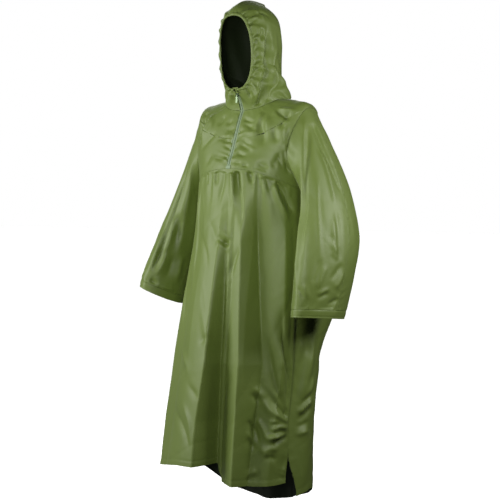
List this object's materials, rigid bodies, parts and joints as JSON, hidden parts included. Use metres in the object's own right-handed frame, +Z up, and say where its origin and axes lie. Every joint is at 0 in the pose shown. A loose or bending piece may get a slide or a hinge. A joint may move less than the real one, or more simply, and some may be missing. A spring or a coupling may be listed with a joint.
{
  "type": "hooded rain poncho",
  "caption": "Knee-length hooded rain poncho with wide sleeves, a chest zip, a gathered yoke seam and a longer tail, worn and filled out with nobody in it.",
  "frame": {"origin": "the middle of the wearer's shoulder line at the base of the neck, where the garment hangs on its wearer", "axes": "+Z up, the garment's front faces -Y, the wearer's left is at +X"},
  "size_m": [0.7359, 0.5235, 1.6145],
  "materials": {
    "poncho_nylon": "coated nylon taffeta, fine plain weave with a soft sheen, olive green",
    "zip_tape": "woven zip tape, pale grey green",
    "zip_coil": "moulded coil, pale grey green",
    "slider_metal": "lacquered to match the zip"
  },
  "bodies": {
    "poncho": {"yoke_left": "poncho_nylon", "yoke_right": "poncho_nylon", "skirt_front": "poncho_nylon", "back": "poncho_nylon", "hood_left": "poncho_nylon", "hood_right": "poncho_nylon", "face_casing": "poncho_nylon", "sleeve_left_front": "poncho_nylon", "sleeve_left_back": "poncho_nylon", "sleeve_right_front": "poncho_nylon", "sleeve_right_back": "poncho_nylon", "cuff_left": "poncho_nylon", "cuff_right": "poncho_nylon", "zip_tape_left": "zip_tape", "zip_tape_right": "zip_tape", "zip_coil": "zip_coil", "zip_slider": "slider_metal"},
    "zip_pull": {"zip_pull": "slider_metal"}
  },
  "joints": [
    {"name": "pull_swing", "type": "hinge", "parent": "poncho", "child": "zip_pull", "pos_m": [0, -0.11103, 0.02892], "axis": [-1, 0, 0], "range_deg": [-20, 140]}
  ]
}
